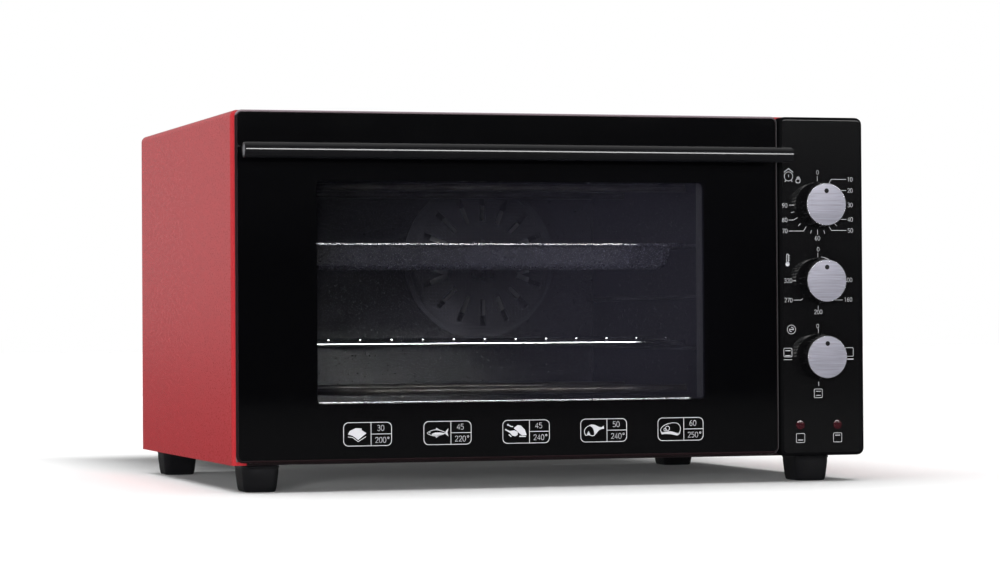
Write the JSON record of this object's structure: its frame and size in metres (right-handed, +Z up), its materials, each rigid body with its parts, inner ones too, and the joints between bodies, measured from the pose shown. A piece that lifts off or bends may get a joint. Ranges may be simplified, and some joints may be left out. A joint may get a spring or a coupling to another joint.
{
  "type": "mini oven",
  "caption": "Countertop mini oven with a red steel cabinet, a drop-down glass door with a full-width bar handle, turning knobs on a black side panel, and a rack and tray inside.",
  "frame": {"origin": "under the middle of the whole oven's box, on the plane that the feet stand on", "axes": "+Z up, the door and the knobs face -Y, +X to the right as seen from the front"},
  "size_m": [0.57, 0.463, 0.323],
  "materials": {
    "red_enamel": "gloss",
    "black_panel": "gloss",
    "black_bar": "satin",
    "black_knob": "satin",
    "black_foot": "gloss",
    "dark_enamel": "gloss",
    "dark_steel": "satin",
    "zinc_steel": "satin",
    "brushed_disc": "brushed",
    "bright_wire": "polished",
    "heater_sheath": "satin",
    "front_glass": "gloss",
    "rear_glass": "gloss",
    "lamp_red": "gloss",
    "grey_plastic": "matte"
  },
  "bodies": {
    "cabinet": {"outer_shell": "red_enamel", "front_frame": "red_enamel", "base_pan": "zinc_steel", "partition_plate": "zinc_steel", "back_panel": "dark_steel", "back_screw_1": "zinc_steel", "back_screw_2": "zinc_steel", "back_screw_3": "zinc_steel", "back_screw_4": "zinc_steel", "foot_front_left": "black_foot", "foot_front_right": "black_foot", "foot_rear_left": "black_foot", "foot_rear_right": "black_foot", "cavity_liner": "dark_enamel", "top_heater": "heater_sheath", "bottom_heater": "heater_sheath", "thermostat_probe": "bright_wire", "control_panel": "black_panel", "pilot_lamp_left": "lamp_red", "pilot_lamp_right": "lamp_red", "timer_body": "zinc_steel", "thermostat_body": "zinc_steel", "selector_body": "grey_plastic", "hinge_bracket_left": "dark_steel", "hinge_bracket_right": "dark_steel", "door_spring_left": "zinc_steel", "door_spring_right": "zinc_steel", "fan_guard": "dark_enamel", "fan_motor": "dark_steel", "cord_gland": "black_foot", "terminal_block": "grey_plastic"},
    "door": {"door_glass": "front_glass", "door_frame": "dark_steel", "inner_glass": "rear_glass", "glass_retainer": "bright_wire", "handle_bar": "black_bar", "handle_post_left": "black_bar", "handle_post_right": "black_bar", "handle_screw_left": "zinc_steel", "handle_screw_right": "zinc_steel", "hinge_arm_left": "zinc_steel", "hinge_arm_right": "zinc_steel", "hinge_pin_left": "zinc_steel", "hinge_pin_right": "zinc_steel"},
    "timer_control": {"timer_knob": "black_knob", "timer_knob_cap": "brushed_disc", "timer_shaft": "zinc_steel"},
    "thermostat_control": {"thermostat_knob": "black_knob", "thermostat_knob_cap": "brushed_disc", "thermostat_shaft": "zinc_steel"},
    "selector_control": {"selector_knob": "black_knob", "selector_knob_cap": "brushed_disc", "selector_shaft": "zinc_steel"},
    "fan": {"fan_impeller": "zinc_steel", "fan_shaft": "zinc_steel"},
    "rack": {"wire_rack": "bright_wire"},
    "tray": {"baking_tray": "dark_enamel"}
  },
  "joints": [
    {"name": "door_hinge", "type": "hinge", "parent": "cabinet", "child": "door", "pos_m": [-0.0405, -0.18285, 0.0292], "axis": [1, 0, 0], "range_deg": [0, 85], "deforming": ["door_spring_left", "door_spring_right"]},
    {"name": "timer_turn", "type": "hinge", "parent": "cabinet", "child": "timer_control", "pos_m": [0.241, -0.2, 0.2443], "axis": [0, 1, 0], "range_deg": [-40, 270]},
    {"name": "thermostat_turn", "type": "hinge", "parent": "cabinet", "child": "thermostat_control", "pos_m": [0.241, -0.2, 0.1772], "axis": [0, 1, 0], "range_deg": [0, 270]},
    {"name": "selector_turn", "type": "hinge", "parent": "cabinet", "child": "selector_control", "pos_m": [0.241, -0.2, 0.1101], "axis": [0, 1, 0], "range_deg": [0, 270]},
    {"name": "fan_spin", "type": "hinge", "parent": "cabinet", "child": "fan", "pos_m": [0.039, 0.175, 0.203], "axis": [0, 1, 0], "continuous": true},
    {"name": "rack_slide", "type": "slide", "parent": "cabinet", "child": "rack", "axis": [0, -1, 0], "range_m": [0, 0.055]},
    {"name": "tray_slide", "type": "slide", "parent": "cabinet", "child": "tray", "axis": [0, -1, 0], "range_m": [0, 0.055]}
  ]
}
